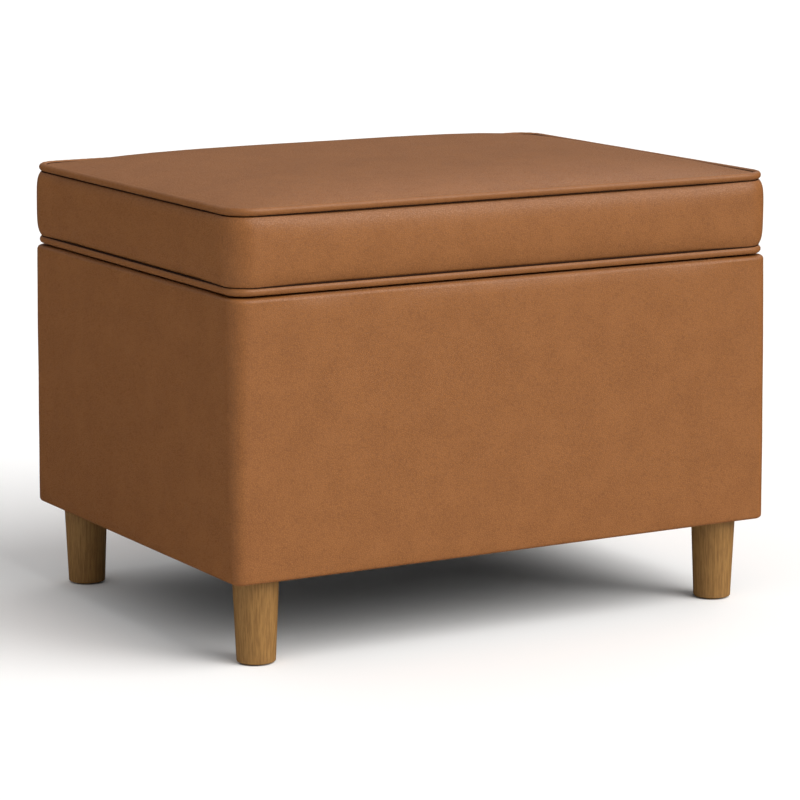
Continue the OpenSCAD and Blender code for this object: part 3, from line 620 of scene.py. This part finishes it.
class OTTOMAN_OT_box_cover(bpy.types.Operator):
    """Makes the leather over the padded box: turned under the foot, up the sides and in over the rim"""
    bl_idname = "ottoman.box_cover"
    bl_label = "Box Cover"

    def execute(self, context):
        s = context.scene.ottoman_upholstery
        foot, top = COVER_LO.z, COVER_HI.z
        lip_in = HALF_W - PANEL_FACE + s.thickness
        walls = [(0.0, foot + FOOT_ROUND + t * (top - RIM_ROUND - foot - FOOT_ROUND))
                 for t in np.linspace(0, 1, WALL_ROWS + 2)[1:-1]]
        line = [(TURN_UNDER, foot), (0.6 * TURN_UNDER, foot)]
        line += arc((FOOT_ROUND, foot + FOOT_ROUND), FOOT_ROUND, -90, 0, 6)
        line += walls
        line += arc((RIM_ROUND, top - RIM_ROUND), RIM_ROUND, 0, 90, 9)
        line += [(inset * MM, top) for inset in RIM_ACROSS]
        line += [(2 * lip_in - inset, z) for inset, z in
                 arc((lip_in + RIM_LIP_ROUND, top - RIM_LIP_ROUND), RIM_LIP_ROUND, 90, 0, 5)]
        line += [(lip_in, z) for z in np.linspace(top - RIM_LIP_ROUND, LINER_TOP, 6)[1:]]
        rings = []
        for inset, z in line:
            corner = s.box_corner * (FOOT_CORNER + (1 - FOOT_CORNER) * (z - foot) / (top - foot))
            rings.append(ring(inset, max(corner - inset, FOLD_CORNER), z, seam=True))
        count = len(rings[0])
        points = np.concatenate(rings)
        self.soften_rim(points)
        out = np.concatenate([outward(r) for r in rings])
        on_wall = np.repeat([1.0 if inset < 1e-6 else 0.0 for inset, z in line], count)
        up = np.clip((points[:, 2] - foot) / (top - foot), 0, 1)
        pillow = WALL_SWELL * (1 - np.abs(2 * up - 1) ** 3) * on_wall
        slack = WALL_SLACK * ripple(points, 60 * MM, 4) * on_wall
        points[:, :2] += out * (pillow + slack)[:, None]
        self.back_seam(points, out, on_wall)
        piece = leather_mesh("box_leather", points, ring_faces(len(rings), count))
        thicken(piece, s.thickness)
        dress(piece, "box", "leather", "Cognac leather", "box_cover")
        return {"FINISHED"}

    def soften_rim(self, points):
        """Leans the faces in towards the rim, away from the snug corners, and swells the rim in front and
        at the sides, clear of the hinges."""
        inset = np.minimum(HALF_W - np.abs(points[:, 0]), HALF_D - np.abs(points[:, 1]))
        drop = COVER_HI.z - points[:, 2]
        loose = 1 - snugness(points)
        fall = np.clip(1 - drop / RIM_FALL_HEIGHT, 0, 1) ** 2 * loose * RIM_FALL
        for k, half in ((0, HALF_W), (1, HALF_D)):
            face = np.abs(points[:, k]) > half - RIM_ROUND
            points[face, k] -= np.sign(points[face, k]) * fall[face]
        on_rim = (drop < 2 * MM) & (points[:, 1] < HALF_D - HINGE_ROOM)
        points[on_rim, 2] += RIM_ROLL * np.sin(math.pi * np.clip(inset[on_rim] / RIM_WIDTH, 0, 1))

    def back_seam(self, points, out, on_wall):
        """Draws the leather in along the upright seam in the middle of the back, less towards the rim,
        where it already lies close to the padding."""
        off = np.abs(points[:, 0])
        back = (points[:, 1] > HALF_D - 3 * MM) & (on_wall > 0)
        depth = SEAM_DEPTH * np.clip((COVER_HI.z - points[:, 2]) / SEAM_FADE, 0, 1)
        beside = back & (off > SEAM_LINE) & (off < SEAM_LIPS)
        points[:, :2] -= out * np.where(back & (off < SEAM_LINE), depth, 0)[:, None]
        points[:, :2] += out * np.where(beside, LIP_RISE * depth, 0)[:, None]


# ---- Cloth under the box and under the lid ----

def stretched_cloth(name, node, corner_r, sag):
    """A thin cloth pulled tight between its fixings, with a little sag inside them."""
    lo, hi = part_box(node)
    thickness = hi.z - lo.z
    edge = outline(hi.x, hi.y, corner_r)
    grid = sheet_inside(np.column_stack([edge, np.zeros(len(edge))]))
    points = grid.reshape(-1, 3)
    inside = crown_height(points[:, :2], hi.x, hi.y, squareness=3.0)
    points[:, 2] = hi.z - sag * inside + 0.06 * thickness * ripple(points, 35 * MM, 6)
    piece = leather_mesh(name, points, grid_faces(*grid.shape[:2]))
    thicken(piece, thickness)
    return piece


class OTTOMAN_OT_cloths(bpy.types.Operator):
    """Makes the dust cover under the box and the lining under the lid"""
    bl_idname = "ottoman.cloths"
    bl_label = "Dust Cover and Lid Lining"

    def execute(self, context):
        dust = stretched_cloth("dust_cover_cloth", "dust_cover", corner_r=16 * MM, sag=1.6 * MM)
        dress(dust, "box", "black_cloth", "Black felted cloth", "dust_cover")
        lining = stretched_cloth("lid_lining_cloth", "lid_lining", corner_r=8 * MM, sag=0.0)
        dress(lining, "lid", "black_cloth", "Black felted cloth", "lid_lining")
        return {"FINISHED"}


# ---- Shader groups ----

def group(name, inputs, outputs):
    """A shader group with a Vector and float inputs, and float outputs. Returns its tree, what it is given
    and what it makes."""
    tree = bpy.data.node_groups.new(name, "ShaderNodeTree")
    tree.interface.new_socket(name="Vector", in_out="INPUT", socket_type="NodeSocketVector")
    for label, value in inputs.items():
        socket = tree.interface.new_socket(name=label, in_out="INPUT", socket_type="NodeSocketFloat")
        socket.default_value = value
    for label in outputs:
        tree.interface.new_socket(name=label, in_out="OUTPUT", socket_type="NodeSocketFloat")
    return tree, tree.nodes.new("NodeGroupInput").outputs, tree.nodes.new("NodeGroupOutput").inputs


def feed(tree, sockets, **values):
    """Links or sets sockets by their names, with _ for a space, or _ and a number for a place."""
    for key, value in values.items():
        place = int(key[1:]) if key[0] == "_" else key.replace("_", " ")
        if isinstance(value, bpy.types.NodeSocket):
            tree.links.new(value, sockets[place])
        else:
            sockets[place].default_value = value


def put(tree, kind, settings=None, **values):
    """A node, with its settings, and its inputs set or linked."""
    made = tree.nodes.new(kind)
    for key, value in (settings or {}).items():
        setattr(made, key, value)
    feed(tree, made.inputs, **values)
    return made


def arithmetic(tree, operation, *terms):
    return put(tree, "ShaderNodeMath", {"operation": operation},
               **{f"_{i}": term for i, term in enumerate(terms)}).outputs[0]


def vector_arithmetic(tree, operation, *terms):
    return put(tree, "ShaderNodeVectorMath", {"operation": operation},
               **{f"_{i}": term for i, term in enumerate(terms)}).outputs[0]


def remap(tree, value, low, high, to_low=0.0, to_high=1.0):
    return put(tree, "ShaderNodeMapRange", {"interpolation_type": "SMOOTHSTEP"}, Value=value, From_Min=low,
               From_Max=high, To_Min=to_low, To_Max=to_high).outputs[0]


def cloud(tree, vector, scale, detail=2.0, roughness=0.5):
    return put(tree, "ShaderNodeTexNoise", Vector=vector, Scale=scale, Detail=detail,
               Roughness=roughness).outputs


def speckle(tree, vector, scale, detail=2.0, roughness=0.5):
    return cloud(tree, vector, scale, detail, roughness)[0]


def leather_grain_group():
    """Pebbled grain: Height of the pebbles, the Crease between them, and slow Blotches."""
    tree, given, made = group("Leather grain", {"Pebbles": 900.0, "Blotches": 30.0},
                              ["Height", "Crease", "Blotch"])
    bend = cloud(tree, given["Vector"], 260.0)["Color"]
    shift = vector_arithmetic(tree, "MULTIPLY_ADD", bend, (1.2 * MM,) * 3, given["Vector"])
    cells = put(tree, "ShaderNodeTexVoronoi", {"feature": "DISTANCE_TO_EDGE"}, Vector=shift,
                Scale=given["Pebbles"]).outputs["Distance"]
    pebble = remap(tree, cells, 0.0, 0.22)
    fine = speckle(tree, given["Vector"], 2600.0)
    slow = speckle(tree, given["Vector"], given["Blotches"], 4.0, 0.62)
    middle = speckle(tree, given["Vector"], 210.0, 3.0, 0.6)
    both = arithmetic(tree, "MULTIPLY_ADD", middle, 0.7, slow)
    feed(tree, made, Height=arithmetic(tree, "MULTIPLY_ADD", fine, 0.35, pebble),
         Crease=arithmetic(tree, "SUBTRACT", 1.0, pebble), Blotch=remap(tree, both, 0.62, 1.08))


def wood_grain_group():
    """Grain along the vector's Z: dark Lines, short Pores and Height."""
    tree, given, made = group("Wood grain", {"Lines": 260.0, "Wander": 0.008}, ["Lines", "Pores", "Height"])
    drift = cloud(tree, vector_arithmetic(tree, "MULTIPLY", given["Vector"], (9.0, 9.0, 3.0)), 1.0)["Color"]
    wander = put(tree, "ShaderNodeVectorMath", {"operation": "SCALE"}, _0=drift,
                 Scale=given["Wander"]).outputs[0]
    bent = vector_arithmetic(tree, "ADD", given["Vector"], wander)
    thin = vector_arithmetic(tree, "MULTIPLY", bent, (1.0, 1.0, 0.05))
    short = vector_arithmetic(tree, "MULTIPLY", bent, (1.0, 1.0, 0.06))
    lines = remap(tree, speckle(tree, thin, given["Lines"], 5.0, 0.65), 0.36, 0.66)
    pores = remap(tree, speckle(tree, short, 1500.0, 1.0), 0.62, 0.72)
    height = arithmetic(tree, "SUBTRACT", arithmetic(tree, "MULTIPLY", lines, 0.4), pores)
    feed(tree, made, Lines=lines, Pores=pores, Height=height)


def wear_group():
    """A Mask of rubbed patches and a Height of fine scratches, for metal and plastic."""
    tree, given, made = group("Handling wear", {"Size": 140.0, "Amount": 0.5}, ["Mask", "Height"])
    patches = speckle(tree, given["Vector"], given["Size"], 5.0, 0.7)
    low = arithmetic(tree, "SUBTRACT", 0.95, arithmetic(tree, "MULTIPLY", given["Amount"], 0.5))
    along = vector_arithmetic(tree, "MULTIPLY", given["Vector"], (1.0, 0.12, 1.0))
    feed(tree, made, Mask=remap(tree, patches, low, arithmetic(tree, "ADD", low, 0.12)),
         Height=speckle(tree, along, 2200.0, 1.0))


def weave_group():
    """Plain weave of threads across and along a surface: Height of the threads and the Gap between them."""
    tree, given, made = group("Plain weave", {"Threads": 900.0}, ["Height", "Gap"])
    parts = put(tree, "ShaderNodeSeparateXYZ", _0=given["Vector"]).outputs
    across = arithmetic(tree, "ADD", parts["X"], parts["Y"])
    waves = [arithmetic(tree, "SINE", arithmetic(tree, "MULTIPLY", part, given["Threads"]))
             for part in (across, parts["Z"])]
    fuzz = arithmetic(tree, "ADD", speckle(tree, given["Vector"], 1800.0, 3.0), 0.2)
    height = arithmetic(tree, "MULTIPLY_ADD", arithmetic(tree, "MULTIPLY", *waves), 0.35, fuzz)
    feed(tree, made, Height=height, Gap=remap(tree, height, 0.75, 0.45))


# ---- Finishes ----

PEBBLE_DEPTH = 0.16 * MM
WOOD_DEPTH = 0.2 * MM
SCRATCH_DEPTH = 0.05 * MM
WEAVE_DEPTH = 0.2 * MM
CELL_DEPTH = 0.6 * MM


def new_material(name):
    """A new material's tree and its Principled shader."""
    material = bpy.data.materials.new(name)
    material.use_nodes = True
    tree = material.node_tree
    return tree, next(n for n in tree.nodes if n.type == "BSDF_PRINCIPLED")


def finish(name):
    """A new material's tree, its Principled shader and the place on its object."""
    tree, shader = new_material(name)
    return tree, shader, tree.nodes.new("ShaderNodeTexCoord").outputs["Object"]


def blend_colours(tree, mask, low, high):
    return put(tree, "ShaderNodeMix", {"data_type": "RGBA"}, Factor=mask, _6=(*low, 1),
               _7=(*high, 1)).outputs[2]


def use_group(tree, name, vector, **values):
    made = tree.nodes.new("ShaderNodeGroup")
    made.node_tree = bpy.data.node_groups[name]
    feed(tree, made.inputs, Vector=vector, **values)
    return made.outputs


def emboss(tree, height, strength, depth):
    return put(tree, "ShaderNodeBump", Strength=strength, Distance=depth, Height=height).outputs[0]


def leather_finish(name, light, deep, pebbles, strength):
    """Leather of two colours, shinier on its pebbles than in its creases."""
    tree, shader, place = finish(name)
    grain = use_group(tree, "Leather grain", place, Pebbles=pebbles)
    tone = arithmetic(tree, "MULTIPLY_ADD", grain["Crease"], 0.55,
                      arithmetic(tree, "MULTIPLY", grain["Blotch"], 0.25))
    feed(tree, shader.inputs, Base_Color=blend_colours(tree, tone, light, deep),
         Roughness=remap(tree, grain["Height"], 0.1, 1.2, 0.52, 0.34),
         Normal=emboss(tree, grain["Height"], strength, PEBBLE_DEPTH), Specular_IOR_Level=0.28)


def wood_finish(name, light, dark, along, lines, roughness=0.6, gloss=0.0):
    """Timber whose grain runs along Z, X or Y."""
    tree, shader, place = finish(name)
    if along != "Z":
        parts = put(tree, "ShaderNodeSeparateXYZ", _0=place).outputs
        order = {"X": "YZX", "Y": "XZY"}[along]
        place = put(tree, "ShaderNodeCombineXYZ", X=parts[order[0]], Y=parts[order[1]],
                    Z=parts[order[2]]).outputs[0]
    grain = use_group(tree, "Wood grain", place, Lines=lines)
    tone = arithmetic(tree, "MULTIPLY_ADD", grain["Pores"], 0.5, grain["Lines"])
    feed(tree, shader.inputs, Base_Color=blend_colours(tree, tone, light, dark),
         Roughness=remap(tree, grain["Lines"], 0.0, 1.0, roughness, roughness + 0.12),
         Normal=emboss(tree, grain["Height"], 0.3, WOOD_DEPTH), Specular_IOR_Level=0.25,
         Coat_Weight=gloss, Coat_Roughness=0.3)


def worn_finish(name, colour, rubbed, metallic, roughness, wear):
    """Steel, nylon or rubber, rubbed in patches."""
    tree, shader, place = finish(name)
    worn = use_group(tree, "Handling wear", place, Amount=wear)
    feed(tree, shader.inputs, Base_Color=blend_colours(tree, worn["Mask"], colour, rubbed),
         Roughness=remap(tree, worn["Mask"], 0.0, 1.0, roughness, roughness - 0.1),
         Normal=emboss(tree, worn["Height"], 0.15, SCRATCH_DEPTH), Metallic=metallic)


def cloth_finish(name, thread, gap, threads, roughness, sheen=0.15):
    tree, shader, place = finish(name)
    weave = use_group(tree, "Plain weave", place, Threads=threads)
    feed(tree, shader.inputs, Base_Color=blend_colours(tree, weave["Gap"], thread, gap),
         Normal=emboss(tree, weave["Height"], 0.5, WEAVE_DEPTH), Roughness=roughness,
         Sheen_Weight=sheen, Specular_IOR_Level=0.2)


def foam_finish(name, light, deep, cells, roughness):
    """Foam, felt or wadding, with soft cells."""
    tree, shader, place = finish(name)
    cell = put(tree, "ShaderNodeTexVoronoi", {"feature": "SMOOTH_F1"}, Vector=place,
               Scale=cells).outputs["Distance"]
    tone = arithmetic(tree, "MULTIPLY_ADD", speckle(tree, place, 25.0, 3.0), 0.5, cell)
    feed(tree, shader.inputs, Base_Color=blend_colours(tree, remap(tree, tone, 0.2, 1.0), light, deep),
         Normal=emboss(tree, cell, 0.6, CELL_DEPTH), Roughness=roughness, Sheen_Weight=0.2)


def both_sides(*names):
    """Node names of the left and the right one of each."""
    return [f"{name}_{side}" for name in names for side in ("left", "right")]


FINISHED_NODES = {
    "Oak": both_sides("leg_front", "leg_back"),
    "Birch plywood": ["front_panel", "back_panel", "floor_panel", "lid_board"],
    "Birch plywood sides": ["left_panel", "right_panel"],
    "Pine": ["front_back_cleats", *both_sides("leg_block_front", "leg_block_back")],
    "Pine cleats": ["side_cleats"],
    "Zinc-plated steel": ["hanger_bolts", "tee_nuts", "dust_cover_staples", "frame_screws", "hinge_pins",
                          "hinge_box_screws", "hinge_lid_screws", "stay_box_rivets", "stay_lid_rivets",
                          "stay_box_screws", "stay_lid_screws", *both_sides("stay_elbow_rivet")],
    "Black painted steel": both_sides("hinge_box_leaf", "hinge_lid_leaf", "stay_box_bracket",
                                      "stay_lid_bracket", "stay_lower_arm", "stay_upper_arm"),
    "Black nylon": ["foot_glides"],
    "Black rubber": ["rim_bumpers"],
    "Lining cloth": ["liner_front", "liner_back", *both_sides("liner")],
    "Floor lining cloth": ["liner_floor"],
    "White wadding": ["box_padding", "welt_cords"],
    "Yellow foam": ["lid_foam"],
}


class OTTOMAN_OT_finishes(bpy.types.Operator):
    """Makes the finishes and gives the frame's own pieces theirs"""
    bl_idname = "ottoman.finishes"
    bl_label = "Finishes"

    def execute(self, context):
        leather, timber = context.scene.ottoman_upholstery, context.scene.ottoman_timber
        for make in (leather_grain_group, wood_grain_group, wear_group, weave_group):
            make()
        light, deep = leather.leather_light, leather.leather_deep
        leather_finish("Cognac leather", light, deep, pebbles=560.0, strength=0.5)
        leather_finish("Piping leather", [0.97 * c for c in light], deep, pebbles=900.0, strength=0.3)
        wood_finish("Oak", timber.oak_light, timber.oak_dark, "Z", lines=620.0, roughness=0.5, gloss=0.05)
        for name, along in (("Birch plywood", "X"), ("Birch plywood sides", "Y")):
            wood_finish(name, timber.ply_light, timber.ply_dark, along, lines=180.0)
        for name, along in (("Pine", "X"), ("Pine cleats", "Y")):
            wood_finish(name, timber.pine_light, timber.pine_dark, along, lines=140.0)
        worn_finish("Zinc-plated steel", (0.55, 0.54, 0.50), (0.68, 0.67, 0.63),
                    metallic=0.95, roughness=0.36, wear=0.55)
        worn_finish("Black painted steel", (0.018, 0.018, 0.02), (0.09, 0.09, 0.09),
                    metallic=0.35, roughness=0.42, wear=0.35)
        worn_finish("Black nylon", (0.016, 0.016, 0.016), (0.05, 0.05, 0.05),
                    metallic=0.0, roughness=0.5, wear=0.4)
        worn_finish("Black rubber", (0.012, 0.012, 0.012), (0.03, 0.03, 0.03),
                    metallic=0.0, roughness=0.75, wear=0.3)
        # near-black thread colour: painted shade in the creases beside the welts
        cloth_finish("Dark thread", (0.024, 0.006, 0.001), (0.012, 0.003, 0.001),
                     threads=9000.0, roughness=0.9, sheen=0.0)
        cloth_finish("Lining cloth", (0.035, 0.034, 0.034), (0.012, 0.012, 0.012),
                     threads=5200.0, roughness=0.85)
        cloth_finish("Floor lining cloth", (0.037, 0.036, 0.036), (0.012, 0.012, 0.012),
                     threads=5200.0, roughness=0.88)
        foam_finish("Black felted cloth", (0.022, 0.022, 0.023), (0.009, 0.009, 0.009),
                    cells=1900.0, roughness=0.9)
        foam_finish("White wadding", (0.86, 0.86, 0.84), (0.70, 0.70, 0.68), cells=300.0, roughness=0.95)
        foam_finish("Yellow foam", (0.84, 0.74, 0.40), (0.62, 0.52, 0.24), cells=900.0, roughness=0.9)
        for name, nodes in FINISHED_NODES.items():
            for node in nodes:
                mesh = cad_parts[node].data
                mesh.materials.clear()
                mesh.materials.append(bpy.data.materials[name])
        return {"FINISHED"}


# ---- Studio ----

FLOOR_REACH = 40.0
SENSOR_W = 36.0              # of the camera, in mm
FAR = 100.0                  # the furthest that the camera sees


class OTTOMAN_OT_stage(bpy.types.Operator):
    """Makes the floor, the lights and the camera"""
    bl_idname = "ottoman.stage"
    bl_label = "Studio"

    def execute(self, context):
        s = context.scene.ottoman_studio
        self.floor(s)
        self.lights(context.scene, s)
        self.camera(context.scene, s)
        return {"FINISHED"}

    def floor(self, s):
        """A pale floor, clear from below so that the underside can be looked at."""
        mesh = bpy.data.meshes.new("studio_floor")
        corners = [(x * FLOOR_REACH, y * FLOOR_REACH, 0) for x, y in ((-1, -1), (1, -1), (1, 1), (-1, 1))]
        mesh.from_pydata(corners, [], [(0, 1, 2, 3)])
        floor = bpy.data.objects.new("studio_floor", mesh)
        bpy.context.scene.collection.objects.link(floor)
        tree, shader = new_material("Studio floor")
        from_below = tree.nodes.new("ShaderNodeNewGeometry").outputs["Backfacing"]
        feed(tree, shader.inputs, Base_Color=(*s.floor_colour, 1), Roughness=0.9, Specular_IOR_Level=0.1,
             Alpha=arithmetic(tree, "SUBTRACT", 1.0, from_below))
        mesh.materials.append(bpy.data.materials["Studio floor"])
        floor.visible_glossy = False

    def lights(self, scene, s):
        self.sky(scene, s)
        for name, strength, spread, way, colour in (
                ("studio_key", s.key_strength, s.key_spread, (0.36, -0.63, 0.69), (1.0, 0.985, 0.965)),
                ("studio_low", s.low_strength, s.low_spread, (0.50, -0.78, 0.38), (1.0, 0.985, 0.97)),
                ("studio_rim", s.rim_strength, s.low_spread, (0.67, 0.47, 0.57), (1.0, 0.99, 0.98)),
                ("studio_side", s.side_strength, s.key_spread, (-0.86, -0.30, 0.41), (1.0, 0.99, 0.98))):
            self.sun(scene, name, strength, spread, way, colour)
        scene.view_settings.view_transform = "Standard"
        scene.view_settings.look = "None"

    def sky(self, scene, s):
        """Even light from above that fades out towards the horizon, so that the leather stays deep."""
        world = bpy.data.worlds.new("Studio light")
        world.use_nodes = True
        tree = world.node_tree
        back = next(n for n in tree.nodes if n.type == "BACKGROUND")
        way = tree.nodes.new("ShaderNodeTexCoord").outputs["Generated"]
        height = put(tree, "ShaderNodeSeparateXYZ", _0=way).outputs["Z"]
        feed(tree, back.inputs, Color=(1, 1, 1, 1),
             Strength=remap(tree, height, 0.0, s.sky_rise, 0.0, s.sky_strength))
        scene.world = world

    def sun(self, scene, name, strength, spread, way, colour):
        lamp = bpy.data.lights.new(name, "SUN")
        lamp.energy, lamp.angle, lamp.color = strength, spread, colour
        placed = bpy.data.objects.new(name, lamp)
        scene.collection.objects.link(placed)
        placed.rotation_euler = Vector(way).to_track_quat("Z", "Y").to_euler()

    def camera(self, scene, s):
        data = bpy.data.cameras.new("studio_camera")
        data.lens, data.sensor_width = s.lens, SENSOR_W
        data.clip_end = FAR
        camera = bpy.data.objects.new("studio_camera", data)
        scene.collection.objects.link(camera)
        a, e = s.camera_azimuth, s.camera_elevation
        back = Vector((math.sin(a) * math.cos(e), -math.cos(a) * math.cos(e), math.sin(e)))
        camera.location = Vector(s.camera_aim) + back * s.camera_distance
        camera.rotation_euler = back.to_track_quat("Z", "Y").to_euler()
        scene.camera = camera


class OTTOMAN_PT_panel(bpy.types.Panel):
    """Lists the ottoman's settings and the steps that make it"""
    bl_label = "Storage Ottoman"
    bl_idname = "OTTOMAN_PT_panel"
    bl_space_type = "VIEW_3D"
    bl_region_type = "UI"
    bl_category = "Ottoman"

    def draw(self, context):
        for name in SETTINGS:
            values = getattr(context.scene, name)
            box = self.layout.box()
            for key in values.__annotations__:
                box.prop(values, key)
        for step in STEPS:
            self.layout.operator(step.bl_idname)


STEPS = (OTTOMAN_OT_finishes, OTTOMAN_OT_lid_cushion, OTTOMAN_OT_piping, OTTOMAN_OT_box_cover,
         OTTOMAN_OT_cloths, OTTOMAN_OT_stage)
SETTINGS = {"ottoman_upholstery": OttomanUpholstery, "ottoman_timber": OttomanTimber,
            "ottoman_studio": OttomanStudio}
CLASSES = (*SETTINGS.values(), *STEPS, OTTOMAN_PT_panel)


def register():
    for cls in CLASSES:
        bpy.utils.register_class(cls)
    for name, settings in SETTINGS.items():
        setattr(bpy.types.Scene, name, PointerProperty(type=settings))


def unregister():
    for name in SETTINGS:
        delattr(bpy.types.Scene, name)
    for cls in reversed(CLASSES):
        bpy.utils.unregister_class(cls)


def main():
    register()
    bpy.ops.ottoman.finishes()
    bpy.ops.ottoman.lid_cushion()
    bpy.ops.ottoman.piping()
    bpy.ops.ottoman.box_cover()
    bpy.ops.ottoman.cloths()
    bpy.ops.ottoman.stage()


if __name__ == "__main__":
    main()
